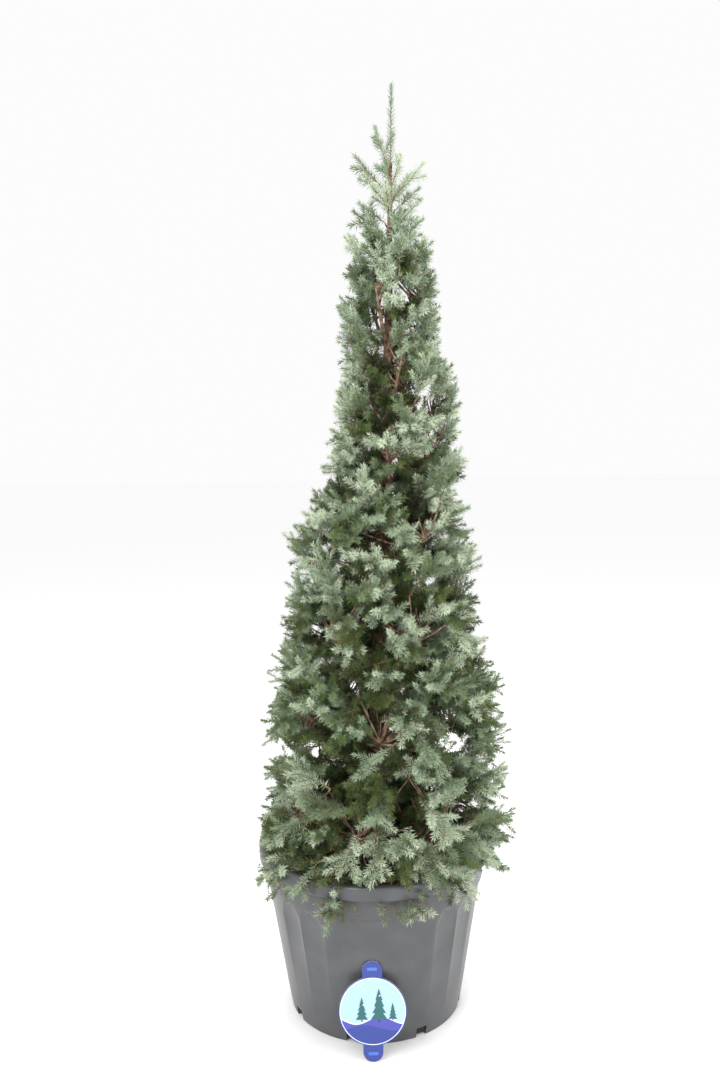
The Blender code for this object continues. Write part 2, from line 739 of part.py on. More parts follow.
def make_leader(group, needles):
    """The top shoot, a stem on the trunk's tip with two upright sprays round it."""
    foot = trunk_axis(TRUNK_TIP) + Vector((0, 0, SEAT))
    top = trunk_axis(CROWN_TOP)
    stem = [foot, foot.lerp(top, 0.3), foot.lerp(top, 0.55)]
    meshes = [tube_mesh(stem, [BOUGH_TIP_RADIUS, 0.0034, STEM_TIP_RADIUS])]
    for index, (share, turn) in enumerate(LEADER_SPRAYS):
        knee = foot.lerp(top, share)
        is_last = index == len(LEADER_SPRAYS) - 1
        stretch = (top - knee).length / SPRAY_LENGTH if is_last else 1.0
        spray = spray_mesh()
        spray.transform(Matrix.Diagonal((LEADER_NARROW, LEADER_NARROW, stretch, 1)))
        upright = (top - knee).to_track_quat("Z", "Y").to_matrix().to_4x4()
        spray.transform(Matrix.Translation(knee) @ upright @ Matrix.Rotation(turn, 4, "Z"))
        meshes.append(spray)
    return fuse("foliage_leader", meshes, group, needles)


def main():
    clear_scene()
    group = new_collection("potted spruce")
    cutters = new_collection("cutters")
    chance = random.Random(7)
    bark = new_material("spruce bark", (0.23, 0.12, 0.065), 0.85)
    needles = new_material("spruce needles", (0.13, 0.19, 0.11), 0.6)
    make_pot(group, cutters)
    make_soil(group)
    make_mulch(group)
    make_label(group)
    make_trunk(group, bark)
    for tier in range(len(TIERS)):
        make_tier(tier, group, bark, needles, chance)
    make_leader(group, needles)


main()
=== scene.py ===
# Potted Serbian spruce of the narrow kind: its looks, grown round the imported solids.
# Metres, +Z up. The origin is under the middle of the pot and -Y is the front.
import json
import math

import bmesh
import bpy
import numpy as np
from mathutils import Matrix, Vector, noise

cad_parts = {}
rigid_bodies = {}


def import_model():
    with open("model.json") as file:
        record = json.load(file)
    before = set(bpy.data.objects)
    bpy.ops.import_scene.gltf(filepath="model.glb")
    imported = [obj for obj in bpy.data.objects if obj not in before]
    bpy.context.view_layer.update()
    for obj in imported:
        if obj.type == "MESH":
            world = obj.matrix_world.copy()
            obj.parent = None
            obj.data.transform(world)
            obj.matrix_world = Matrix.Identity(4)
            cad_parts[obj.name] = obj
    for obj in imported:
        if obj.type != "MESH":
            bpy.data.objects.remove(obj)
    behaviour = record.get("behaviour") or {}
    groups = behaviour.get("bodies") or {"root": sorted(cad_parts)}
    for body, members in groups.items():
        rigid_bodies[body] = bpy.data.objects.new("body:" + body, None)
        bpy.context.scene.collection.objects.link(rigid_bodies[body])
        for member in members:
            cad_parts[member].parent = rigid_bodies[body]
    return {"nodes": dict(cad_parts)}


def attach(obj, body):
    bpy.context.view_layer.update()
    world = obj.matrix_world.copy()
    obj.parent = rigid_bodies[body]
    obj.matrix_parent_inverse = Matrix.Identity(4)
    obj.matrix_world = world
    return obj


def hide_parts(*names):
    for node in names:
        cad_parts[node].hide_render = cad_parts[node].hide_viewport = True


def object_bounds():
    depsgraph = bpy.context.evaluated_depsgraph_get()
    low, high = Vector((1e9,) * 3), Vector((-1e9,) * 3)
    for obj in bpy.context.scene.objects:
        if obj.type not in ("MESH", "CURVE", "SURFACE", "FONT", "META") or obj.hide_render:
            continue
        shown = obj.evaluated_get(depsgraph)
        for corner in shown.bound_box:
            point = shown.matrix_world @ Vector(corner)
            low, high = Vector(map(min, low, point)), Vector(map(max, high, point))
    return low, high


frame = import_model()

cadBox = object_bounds()
print("frame loaded:", len(frame["nodes"]), "nodes")


# small helpers for finishes and meshes

def hexToLinear(text):
    shares = [int(text[i:i + 2], 16) / 255 for i in (1, 3, 5)]
    return [c / 12.92 if c <= 0.04045 else ((c + 0.055) / 1.055) ** 2.4 for c in shares] + [1.0]


def addNode(finish, kind, settings={}, links={}):
    tree = finish.node_tree
    node = tree.nodes.new(kind)
    for name, value in settings.items():
        if isinstance(name, int) or name in node.inputs:
            node.inputs[name].default_value = value
        else:
            setattr(node, name, value)
    for name, socket in links.items():
        tree.links.new(socket, node.inputs[name])
    return node


def newFinish(name, color, roughness, **sockets):
    finish = bpy.data.materials.new(name)
    finish.use_nodes = True
    shader = finish.node_tree.nodes["Principled BSDF"]
    shader.inputs["Base Color"].default_value = hexToLinear(color)
    shader.inputs["Roughness"].default_value = roughness
    for socket, value in sockets.items():
        shader.inputs[socket.replace("_", " ")].default_value = value
    return finish


def shaderOf(finish):
    return finish.node_tree.nodes["Principled BSDF"]


def addRelief(finish, height, distance, strength=1.0):
    bump = addNode(
        finish, "ShaderNodeBump", {"Distance": distance, "Strength": strength}, {"Height": height}
    )
    finish.node_tree.links.new(bump.outputs["Normal"], shaderOf(finish).inputs["Normal"])


def mottle(finish, colors, grain, detail=4.0, stretch=(1, 1, 1)):
    # colours that run into each other over patches as wide as the grain, in metres
    place = addNode(finish, "ShaderNodeTexCoord")
    stretched = addNode(
        finish, "ShaderNodeMapping", {"Scale": stretch}, {"Vector": place.outputs["Object"]}
    )
    patches = addNode(
        finish, "ShaderNodeTexNoise", {"Scale": 1 / grain, "Detail": detail},
        {"Vector": stretched.outputs["Vector"]},
    )
    ramp = addNode(finish, "ShaderNodeValToRGB", {}, {"Fac": patches.outputs["Fac"]})
    stops = ramp.color_ramp.elements
    stops[0].position, stops[1].position = 0.32, 0.68
    stops[0].color, stops[1].color = hexToLinear(colors[0]), hexToLinear(colors[-1])
    for step, color in enumerate(colors[1:-1]):
        middle = stops.new(0.32 + 0.36 * (step + 1) / (len(colors) - 1))
        middle.color = hexToLinear(color)
    finish.node_tree.links.new(ramp.outputs["Color"], shaderOf(finish).inputs["Base Color"])
    return patches.outputs["Fac"]


def newPiece(name, mesh, finishes, smooth=True):
    for finish in finishes:
        mesh.materials.append(finish)
    mesh.polygons.foreach_set("use_smooth", [smooth] * len(mesh.polygons))
    piece = bpy.data.objects.new(name, mesh)
    bpy.context.scene.collection.objects.link(piece)
    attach(piece, "root")
    return piece


def arrayMesh(name, points, faces, tones=None):
    # a mesh straight from arrays, with faces of one and the same number of corners
    mesh = bpy.data.meshes.new(name)
    mesh.vertices.add(len(points))
    mesh.vertices.foreach_set("co", np.asarray(points, np.float32).ravel())
    mesh.loops.add(faces.size)
    mesh.loops.foreach_set("vertex_index", faces.astype(np.int32).ravel())
    mesh.polygons.add(len(faces))
    mesh.polygons.foreach_set("loop_start", np.arange(0, faces.size, faces.shape[1], dtype=np.int32))
    if tones is not None:
        mesh.polygons.foreach_set("material_index", np.asarray(tones, np.int32))
    mesh.update(calc_edges=True)
    mesh.validate()
    return mesh


def unit(vectors):
    return vectors / np.maximum(np.linalg.norm(vectors, axis=-1, keepdims=True), 1e-9)


def tubeArrays(lines, radii, sides):
    # lines is (count, rings, 3) and radii (count, rings): open tapering tubes, all at once
    lines, radii = np.asarray(lines, float), np.asarray(radii, float)
    count, rings = radii.shape
    ahead = np.empty_like(lines)
    ahead[:, 1:-1] = lines[:, 2:] - lines[:, :-2]
    ahead[:, 0], ahead[:, -1] = lines[:, 1] - lines[:, 0], lines[:, -1] - lines[:, -2]
    ahead = unit(ahead)
    aside = unit(np.cross(ahead, np.array((0.31, 0.22, 0.93))))
    across = np.cross(ahead, aside)
    turn = 2 * math.pi * np.arange(sides) / sides
    spoke = np.cos(turn)[:, None] * aside[:, :, None] + np.sin(turn)[:, None] * across[:, :, None]
    points = (lines[:, :, None] + radii[:, :, None, None] * spoke).reshape(-1, 3)
    start = (np.arange(count)[:, None, None] * rings + np.arange(rings - 1)[:, None]) * sides
    side, other = np.arange(sides), (np.arange(sides) + 1) % sides
    faces = np.stack(
        [start + side, start + other, start + sides + other, start + sides + side], axis=-1
    )
    return points, faces.reshape(-1, 4)


# camera first, where the photograph was taken from

view = {"place": (-0.0206, -2.2178, 1.3368), "down": 5.47, "roll": -0.96, "lens": 31.43}
eye = bpy.data.objects.new("camera", bpy.data.cameras.new("camera"))
bpy.context.scene.collection.objects.link(eye)
eye.data.lens = view["lens"]
eye.data.sensor_width = 36
eye.matrix_world = (
    Matrix.Translation(view["place"])
    @ Matrix.Rotation(math.pi / 2 - math.radians(view["down"]), 4, "X")
    @ Matrix.Rotation(math.radians(view["roll"]), 4, "Z")
)
bpy.context.scene.camera = eye


# pot

pot = {
    "height": 0.400, "baseRadius": 0.206, "wall": 0.004, "floor": 0.006, "turn": 2.5,
    "collarBottom": 0.321, "collarRadius": 0.2577, "collarStep": 0.0045,
    "lipBottom": 0.368, "lipRadius": 0.277, "lipRound": 0.007,
    "fluteDepth": 0.006, "fluteWidth": 15, "flutes": 4, "fluteTop": 0.312,
    "fluteFull": 0.272, "fluteEnd": 0.030,
    "drains": 8, "drainWidth": 0.027, "drainHeight": 0.024, "drainReach": 0.014,
    "drainOffset": -18.5, "steps": 360, "wallRows": 44,
}


def potRadius(height):
    return pot["baseRadius"] + (pot["collarRadius"] - pot["baseRadius"]) * height / pot["collarBottom"]


def fluteDepth(turn, height):
    # two scoops side by side, round at the top and running out to nothing at the foot
    if not pot["fluteEnd"] < height < pot["fluteTop"]:
        return 0.0
    spacing = 2 * math.pi / pot["flutes"]
    across = abs((turn - math.pi / 4 + spacing / 2) % spacing - spacing / 2)
    half = math.radians(pot["fluteWidth"]) / 2
    fade = min(1.0, (height - pot["fluteEnd"]) / (pot["fluteFull"] - pot["fluteEnd"]))
    if height > pot["fluteFull"]:
        arch = (height - pot["fluteFull"]) / (pot["fluteTop"] - pot["fluteFull"])
        half *= math.sqrt(max(0.0, 1 - arch * arch))
    offset = abs(across - math.radians(pot["fluteWidth"]) / 2)
    if offset >= half:
        return 0.0
    return pot["fluteDepth"] * fade * (1 - (offset / half) ** 2) ** 0.75


def arcPoints(centre, radius, first, last, steps):
    turns = [math.radians(first + (last - first) * step / steps) for step in range(steps + 1)]
    return [(centre[0] + radius * math.cos(a), centre[1] + radius * math.sin(a)) for a in turns]


def potProfile():
    wall, lip, top = pot["wall"], pot["lipRound"], pot["height"]
    collar = pot["collarRadius"] + pot["collarStep"]
    rows = [pot["fluteEnd"] + (pot["fluteTop"] - pot["fluteEnd"]) * (row / pot["wallRows"])
            for row in range(pot["wallRows"] + 1)]
    inside = [(0.0005, pot["floor"]), (potRadius(pot["floor"]) - wall, pot["floor"])]
    inside += [(potRadius(z) - wall, z) for z in rows]
    inside += arcPoints((collar - wall + lip, top - lip), lip, 180, 90, 4)
    outside = arcPoints((pot["lipRadius"] - lip, top - lip), lip, 90, 0, 5)
    outside += arcPoints((pot["lipRadius"] - lip / 2, pot["lipBottom"] + lip / 2), lip / 2, 0, -90, 4)
    outside += [(collar + 0.0015, pot["lipBottom"]), (collar, pot["lipBottom"] - 0.0015)]
    outside += [(collar, pot["collarBottom"] + 0.002)]
    outside += arcPoints((collar - 0.002, pot["collarBottom"] + 0.002), 0.002, 0, -90, 3)
    outside += [(pot["collarRadius"] - 0.0002, pot["collarBottom"] - 0.001)]
    outside += [(potRadius(z), z) for z in reversed(rows)]
    outside += arcPoints((pot["baseRadius"] - 0.003, 0.003), 0.003, 0, -90, 4)
    return inside + outside + [(0.0005, 0.0)]


def makePot():
    profile = potProfile()
    steps = pot["steps"]
    points = []
    for radius, height in profile:
        for step in range(steps):
            turn = 2 * math.pi * step / steps
            depth = fluteDepth(turn, height) if radius > pot["baseRadius"] / 2 else 0.0
            turn += math.radians(pot["turn"])
            points.append(((radius - depth) * math.cos(turn), (radius - depth) * math.sin(turn), height))
    faces = []
    for row in range(len(profile) - 1):
        for step in range(steps):
            other = (step + 1) % steps
            low, high = row * steps, (row + 1) * steps
            faces.append((low + step, high + step, high + other, low + other))
    mesh = bpy.data.meshes.new("potShell")
    mesh.from_pydata(points, [], faces)
    work = bmesh.new()
    work.from_mesh(mesh)
    ends = [edge for edge in work.edges if len(edge.link_faces) == 1]
    bmesh.ops.holes_fill(work, edges=ends)
    bmesh.ops.recalc_face_normals(work, faces=work.faces)
    work.to_mesh(mesh)
    work.free()
    notches = bpy.data.collections.new("drain notches")
    for index in range(pot["drains"]):
        turn = -math.pi / 2 + math.radians(pot["drainOffset"] + pot["turn"]) + index * math.pi / 4
        work = bmesh.new()
        bmesh.ops.create_cube(work, size=1)
        size = (2 * pot["drainReach"], pot["drainWidth"], 2 * pot["drainHeight"], 1)
        place = Vector((math.cos(turn), math.sin(turn), 0)) * pot["baseRadius"]
        bmesh.ops.transform(
            work, verts=work.verts,
            matrix=Matrix.Translation(place) @ Matrix.Rotation(turn, 4, "Z") @ Matrix.Diagonal(size),
        )
        notch = bpy.data.meshes.new("notch")
        work.to_mesh(notch)
        work.free()
        notches.objects.link(bpy.data.objects.new("notch", notch))
    shell = bpy.data.objects.new("shell", mesh)
    bpy.context.scene.collection.objects.link(shell)
    cut = shell.modifiers.new("notches", "BOOLEAN")
    cut.operation, cut.operand_type, cut.collection = "DIFFERENCE", "COLLECTION", notches
    cut.solver = "MANIFOLD"
    graph = bpy.context.evaluated_depsgraph_get()
    graph.update()
    whole = bpy.data.meshes.new_from_object(shell.evaluated_get(graph))
    for thing in [shell, *notches.objects]:
        bpy.data.objects.remove(thing)
    bpy.data.collections.remove(notches)
    # moulded polypropylene: even dark grey, a soft sheen on the turned wall, faint mould grain
    plastic = newFinish("moulded polypropylene", "#48494b", 0.34, Specular_IOR_Level=0.6)
    mottle(plastic, ("#434446", "#48494b", "#4e4f51"), 0.06)
    grain = addNode(plastic, "ShaderNodeTexNoise", {"Scale": 1 / 0.0016, "Detail": 2.0})
    addRelief(plastic, grain.outputs["Fac"], 0.00012, 0.5)
    whole.materials.clear()
    piece = newPiece("pot_shell", whole, [plastic])
    piece.data.set_sharp_from_angle(angle=math.radians(38))
    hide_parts("pot")
    print("pot:", len(whole.polygons), "faces")


makePot()


# soil and mulch

mulch = {
    "soilTop": 0.356, "seat": 0.0003, "thickness": 0.015, "outer": 0.248, "inner": 0.046,
    "shreds": 3000, "length": (0.007, 0.034), "width": (0.0016, 0.0060),
    "thick": (0.0007, 0.0020), "lift": (-0.001, 0.008), "tilt": 16, "seed": 11,
}


def makeMulch():
    # shredded conifer bark: matt, fibrous, from orange-brown to dark brown
    colors = ("#a5714e", "#8a5638", "#c08f6b", "#6a432c", "#7d6350", "#b5683c")
    finishes = []
    for index, color in enumerate(colors):
        finish = newFinish(f"shredded bark {index + 1}", color, 0.92)
        fibre = addNode(
            finish, "ShaderNodeTexNoise", {"Scale": 1 / 0.0012, "Detail": 3.0}
        )
        addRelief(finish, fibre.outputs["Fac"], 0.0004, 0.7)
        finishes.append(finish)
    chance = np.random.default_rng(mulch["seed"])
    count = mulch["shreds"]

    def between(pair, power=1.0):
        return pair[0] + (pair[1] - pair[0]) * chance.random(count) ** power

    length, width = between(mulch["length"], 1.6), between(mulch["width"], 1.4)
    thick = between(mulch["thick"])
    radius = np.sqrt(chance.uniform(mulch["inner"] ** 2, mulch["outer"] ** 2, count))
    turn = chance.uniform(0, 2 * math.pi, count)
    middle = np.stack([radius * np.cos(turn), radius * np.sin(turn)], axis=1)
    top = mulch["soilTop"] + mulch["seat"] + mulch["thickness"]
    height = top + between(mulch["lift"], 1.8)
    heading = chance.uniform(0, 2 * math.pi, count)
    tilt = np.radians(chance.normal(0, mulch["tilt"], count))
    along = np.stack([np.cos(heading) * np.cos(tilt), np.sin(heading) * np.cos(tilt), np.sin(tilt)], axis=1)
    aside = np.stack([-np.sin(heading), np.cos(heading), chance.normal(0, 0.2, count)], axis=1)
    aside = unit(aside)
    up = np.cross(along, aside)
    centre = np.column_stack([middle, height])
    bend = chance.normal(0, 0.10, count) * length
    rings = []
    for share in (-0.5, -0.1, 0.5):
        spot = centre + along * (length * share)[:, None] + aside * (bend * (1 - 4 * share * share))[:, None]
        narrow = 1.0 if share == -0.1 else 0.55
        for out, rise in ((-1, -1), (1, -1), (1, 1), (-1, 1)):
            rings.append(
                spot + aside * (width * 0.5 * out * narrow)[:, None] + up * (thick * 0.5 * rise)[:, None]
            )
    points = np.stack(rings, axis=1).reshape(-1, 3)
    local = [(3, 2, 1, 0), (8, 9, 10, 11)]
    for ring in (0, 4):
        local += [(ring + i, ring + (i + 1) % 4, ring + 4 + (i + 1) % 4, ring + 4 + i) for i in range(4)]
    faces = (np.arange(count)[:, None, None] * 12 + np.array(local)).reshape(-1, 4)
    share = np.array([0.24, 0.20, 0.16, 0.18, 0.12, 0.10])
    tones = np.repeat(chance.choice(len(colors), count, p=share), len(local))
    newPiece("mulch_shreds", arrayMesh("mulchShreds", points, faces, tones), finishes, False)
    # the layer under the shreds and the soil, both dark and crumbly
    bed = newFinish("bark fines", "#5a3b29", 0.95)
    crumbs = mottle(bed, ("#3a2519", "#5d3c28", "#7d5136"), 0.006)
    addRelief(bed, crumbs, 0.002)
    soil = newFinish("peat soil", "#32241b", 0.97)
    crumbs = mottle(soil, ("#1f1611", "#3a2a1f"), 0.004)
    addRelief(soil, crumbs, 0.0015)
    for node, finish in (("bark_mulch", bed), ("potting_soil", soil)):
        frame["nodes"][node].material_slots[0].material = finish
    print("mulch:", count, "shreds")


makeMulch()


# plant label: a disc with a tab above and below, in plain printed shapes

label = {
    "height": 0.219, "radius": 0.075, "tab": 0.022, "thickness": 0.0012, "side": -0.010,
    "footGap": 0.0005, "footFront": 0.269, "seat": 0.0003, "layer": 0.00009,
}


def labelOutline(radius, tab, height, steps=12):
    middle = height / 2 - tab
    shoulder = math.degrees(math.acos(tab / radius))
    right = arcPoints((0, middle), tab, 90, 0, steps)
    right += arcPoints((0, 0), radius, shoulder, -shoulder, steps * 3)
    right += arcPoints((0, -middle), tab, 0, -90, steps)
    return right + [(-x, y) for x, y in reversed(right[1:-1])]


def discBand(radius, low, high, steps=24):
    # the part of a disc between two curves that give the height at each x
    reach = radius * 0.9995
    across = [reach * math.sin(math.pi * (step / steps - 0.5)) for step in range(steps + 1)]

    def kept(x, y):
        edge = math.sqrt(max(0.0, radius * radius - x * x))
        return (x, max(-edge, min(edge, y)))

    upper = [kept(x, high(x)) for x in across]
    lower = [kept(x, low(x)) for x in across]
    return [(upper[i], lower[i], lower[i + 1], upper[i + 1]) for i in range(steps)]


def makeLabel():
    # printed polypropylene card: smooth, slightly glossy, plain areas of ink
    inks = {
        "ink deep blue": "#2b3f8f", "ink white": "#e9ebee", "ink pale sky": "#a9c9d6",
        "ink violet blue": "#474aa8", "ink teal": "#1f5f63", "ink brown": "#4b382c",
        "ink mid blue": "#4a6fc4",
    }
    finishes = []
    for name, color in inks.items():
        finish = newFinish(name, color, 0.32, Coat_Weight=0.25, Coat_Roughness=0.2)
        grain = addNode(finish, "ShaderNodeTexNoise", {"Scale": 1 / 0.004, "Detail": 2.0})
        addRelief(finish, grain.outputs["Fac"], 0.0001, 0.4)
        finishes.append(finish)
    lean = 0.1
    for _ in range(8):
        wall = potRadius(label["height"] * math.cos(lean)) + label["seat"] + label["thickness"]
        lean = math.asin((label["footFront"] - wall) / label["height"])
    points, faces, tones = [], [], []

    def addFace(corners, level, tone):
        z = label["thickness"] / 2 + label["layer"] * level
        start = len(points)
        points.extend((x, y, z) for x, y in corners)
        faces.append(list(range(start, start + len(corners))))
        tones.append(tone)

    outline = labelOutline(label["radius"], label["tab"], label["height"])
    half = label["thickness"] / 2
    count = len(outline)
    points.extend((x, y, half) for x, y in outline)
    points.extend((x, y, -half) for x, y in outline)
    faces.append(list(reversed(range(count))))
    faces.append(list(range(count, 2 * count)))
    faces.extend([i, (i + 1) % count, count + (i + 1) % count, count + i] for i in range(count))
    tones.extend([0, 1] + [1] * count)
    disc = label["radius"] - 0.0022
    rim = arcPoints((0, 0), disc, 0, 356, 89)
    addFace(rim, 1, 1)
    inner = disc - 0.0016

    def hills(x):
        return -0.018 + 0.008 * math.sin(x * 60 + 0.6)

    def shore(x):
        return -0.036 + 0.006 * math.sin(x * 48 + 2.4)

    bands = (
        (hills, lambda x: 1.0, 2, 2), (lambda x: hills(x) - 0.0025, hills, 1, 2),
        (shore, lambda x: hills(x) - 0.0025, 3, 2), (lambda x: -1.0, shore, 0, 2),
    )
    for low, high, tone, level in bands:
        for corners in discBand(inner, low, high):
            if abs(corners[0][1] - corners[1][1]) + abs(corners[3][1] - corners[2][1]) > 1e-5:
                addFace(corners, level, tone)
    for x, foot, size in ((0.014, -0.024, 1.0), (-0.024, -0.022, 0.72), (0.044, -0.020, 0.52)):
        addFace([(x - 0.002 * size, foot), (x + 0.002 * size, foot),
                 (x + 0.002 * size, foot + 0.01 * size), (x - 0.002 * size, foot + 0.01 * size)], 3, 5)
        for step in range(4):  # a plain fir tree of four stacked wedges
            low = foot + (0.006 + 0.014 * step) * size
            wide = (0.019 - 0.0038 * step) * size
            addFace([(x - wide, low), (x + wide, low), (x, low + 0.026 * size)], 4 + step, 4)
    for index in range(9):  # pale dots over the sky
        turn = index * 2.4
        spot = (0.047 * math.sqrt((index + 1) / 9) * math.cos(turn), 0.034 + 0.022 * math.sin(turn))
        if math.hypot(*spot) < inner - 0.004:
            addFace(arcPoints(spot, 0.0016, 0, 330, 11), 9, 1)
    for sign in (1, -1):  # a lighter bar with round ends on each tab
        bar = arcPoints((0.008, sign * 0.0915), 0.0035, -90, 90, 6)
        bar += arcPoints((-0.008, sign * 0.0915), 0.0035, 90, 270, 6)
        addFace(bar, 1, 6)
    mesh = bpy.data.meshes.new("labelCard")
    mesh.from_pydata(points, [], faces)
    mesh.polygons.foreach_set("material_index", tones)
    middle = label["height"] / 2
    place = Matrix.Translation((
        label["side"],
        -label["footFront"] + middle * math.sin(lean),
        label["footGap"] + middle * math.cos(lean) + half * math.sin(lean),
    )) @ Matrix.Rotation(math.pi / 2 - lean, 4, "X")
    mesh.transform(place)
    work = bmesh.new()
    work.from_mesh(mesh)
    front = (place.to_3x3() @ Vector((0, 0, 1))).normalized()
    for face in work.faces:  # every printed area faces the front
        flat = abs(face.normal.dot(front)) > 0.99
        back = face.verts[0].index >= count and face.verts[0].index < 2 * count
        if flat and (face.normal.dot(front) < 0) != (back and len(face.verts) == count):
            face.normal_flip()
    work.to_mesh(mesh)
    work.free()
    piece = newPiece("label_card", mesh, finishes, False)
    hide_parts("plant_label")
    print("label:", len(faces), "faces")


makeLabel()


# how the tree stands: the same named sizes as its solids

crown = {
    "top": 2.146, "trunkTip": 1.985, "lean": 0.067, "sweep": 2.0, "footRadius": 0.0285,
    "tipRadius": 0.0045, "flare": 0.013, "flareHeight": 0.028,
    "boughRadius": 0.0075, "boughShare": 0.26, "stemShare": 0.70,
    # height, reach to the left, reach to the right
    "reach": (
        (0.36, 0.300, 0.305), (0.47, 0.275, 0.335), (0.60, 0.278, 0.318), (0.75, 0.274, 0.300),
        (0.86, 0.256, 0.250), (1.00, 0.222, 0.217), (1.13, 0.228, 0.205), (1.25, 0.145, 0.180),
        (1.40, 0.125, 0.180), (1.52, 0.100, 0.155), (1.60, 0.113, 0.115), (1.76, 0.114, 0.107),
        (1.90, 0.098, 0.078), (1.99, 0.088, 0.076), (2.05, 0.066, 0.020), (2.15, 0.020, 0.015),
    ),
    # under each tier: height at the trunk, height at the skin, radius of that skin
    "floors": (
        (0.390, 0.330, 0.310), (0.500, 0.650, 0.300), (0.690, 0.880, 0.250),
        (0.910, 1.100, 0.210), (1.130, 1.310, 0.170), (1.370, 1.520, 0.140),
        (1.545, 1.670, 0.115), (1.715, 1.830, 0.105), (1.855, 1.960, 0.085),
        (1.985, 2.110, 0.060),
    ),
}

# each tier: masses, turn of the first, start and end of its stem, rise of the shoots in
# radians, how far that fans up and down, sprays a mass, their length, and how many pieces
# the tier's needles are split into
tiers = {
    "skirt": dict(
        masses=6, turn=0.30, startUp=0.42, endUp=0.50, rise=-0.20, fan=0.70, sprays=34,
        length=0.115, pieces=2),
    "low": dict(
        masses=5, turn=0.95, startUp=0.30, endUp=0.40, rise=0.05, fan=0.65, sprays=40,
        length=0.115, pieces=2),
    "waist": dict(
        masses=5, turn=0.15, startUp=0.30, endUp=0.40, rise=0.20, fan=0.60, sprays=36,
        length=0.108, pieces=2),
    "mid": dict(
        masses=4, turn=0.70, startUp=0.30, endUp=0.42, rise=0.35, fan=0.55, sprays=36,
        length=0.098, pieces=1),
    "upper": dict(
        masses=4, turn=0.05, startUp=0.30, endUp=0.42, rise=0.50, fan=0.50, sprays=27,
        length=0.088, pieces=1),
    "shoulder": dict(
        masses=3, turn=0.85, startUp=0.30, endUp=0.42, rise=0.55, fan=0.45, sprays=23,
        length=0.082, pieces=1),
    "neck": dict(
        masses=3, turn=0.10, startUp=0.25, endUp=0.42, rise=0.55, fan=0.45, sprays=17,
        length=0.078, pieces=1),
}
# sprays that hang over the pot's rim: how many a mass, share of the reach, height and pitch
apron = {"sprays": 9, "out": (0.93, 1.05), "up": (-0.05, 0.30), "lift": (-1.0, -0.35)}
tierNames = list(tiers)
tiersWithBoughs = 4


def trunkAxis(height):
    grown = max(0.0, height - mulch["soilTop"])
    whole = 1 - math.exp(-(crown["top"] - mulch["soilTop"]) / crown["sweep"])
    return np.array((crown["lean"] * (1 - math.exp(-grown / crown["sweep"])) / whole, 0.0, height))


def trunkRadius(height):
    share = (height - mulch["soilTop"]) / (crown["trunkTip"] - mulch["soilTop"])
    plain = crown["footRadius"] + (crown["tipRadius"] - crown["footRadius"]) * share
    return plain + crown["flare"] * math.exp(-(height - mulch["soilTop"]) / crown["flareHeight"])


def crownReach(turn, height):
    heights, left, right = zip(*crown["reach"])
    toLeft, toRight = np.interp(height, heights, left), np.interp(height, heights, right)
    return (toLeft + toRight) / 2 + (toRight - toLeft) / 2 * math.cos(turn)


def tierFloor(tier, radius):
    inner, outer, skin = crown["floors"][tier]
    return inner + (outer - inner) * radius / skin


def placeInTier(tier, turn, shareOut, shareUp):
    radius = 0.1
    for _ in range(6):
        low = tierFloor(tier, radius)
        height = low + (tierFloor(tier + 1, radius) - low) * shareUp
        radius = crownReach(turn, height) * shareOut
    return trunkAxis(height) + np.array((radius * math.cos(turn), radius * math.sin(turn), 0))


def levelWay(turn):
    return np.array((math.cos(turn), math.sin(turn), 0.0))


# bark: trunk and boughs with their relief

barkLook = {"trunkSides": 56, "trunkRings": 300, "boughSides": 12, "relief": 0.0016, "scale": 0.011}


def barkFinish():
    # young spruce bark: matt, thin grey-brown scales over a warmer brown
    finish = newFinish("scaly spruce bark", "#6b5140", 0.88)
    scales = mottle(finish, ("#3d2c22", "#6d5240", "#8f7560", "#a38c78"), 0.009, 5.0, (1, 1, 0.55))
    fine = addNode(finish, "ShaderNodeTexVoronoi", {"Scale": 1 / 0.0035})
    addRelief(finish, fine.outputs["Distance"], 0.0007, 0.8)
    return finish


def makeTrunk(finish):
    foot = mulch["soilTop"] + 0.0003
    sides, rings = barkLook["trunkSides"], barkLook["trunkRings"]
    points = []
    for ring in range(rings + 1):
        height = foot + (crown["trunkTip"] - foot) * (ring / rings)
        middle, radius = trunkAxis(height), trunkRadius(height)
        for side in range(sides):
            turn = 2 * math.pi * side / sides
            lobes = 0.07 * math.sin(4 * turn + 0.8) * math.exp(-(height - foot) / 0.05)
            spot = Vector((radius * math.cos(turn), radius * math.sin(turn), height * 0.55))
            scaly = noise.fractal(spot / barkLook["scale"], 0.9, 2.1, 4)
            deep = barkLook["relief"] * min(1.0, radius / 0.02) * scaly
            out = radius * (1 + lobes) - 0.0006 + deep
            points.append(middle + out * np.array((math.cos(turn), math.sin(turn), 0)))
    points.append(trunkAxis(crown["trunkTip"]))
    points.append(trunkAxis(foot))
    faces = []
    for ring in range(rings):
        for side in range(sides):
            other = (side + 1) % sides
            low, high = ring * sides, (ring + 1) * sides
            faces.append((low + side, low + other, high + other, high + side))
    for side in range(sides):
        other = (side + 1) % sides
        faces.append((rings * sides + side, rings * sides + other, len(points) - 2))
        faces.append((other, side, len(points) - 1))
    mesh = bpy.data.meshes.new("trunkBark")
    mesh.from_pydata([tuple(point) for point in points], [], faces)
    piece = newPiece("trunk_bark", mesh, [finish])
    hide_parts("trunk")


def bentLine(corners, count):
    # evenly spread points on a smooth line through the corners
    corners = np.asarray(corners, float)
    steps = np.linalg.norm(np.diff(corners, axis=0), axis=1)
    spot = np.concatenate([[0], np.cumsum(steps)]) / steps.sum()
    share = np.linspace(0, 1, count)
    line = np.stack([np.interp(share, spot, corners[:, axis]) for axis in range(3)], axis=1)
    for _ in range(max(2, count // 3)):
        line[1:-1] = (line[:-2] + 2 * line[1:-1] + line[2:]) / 4
    return line


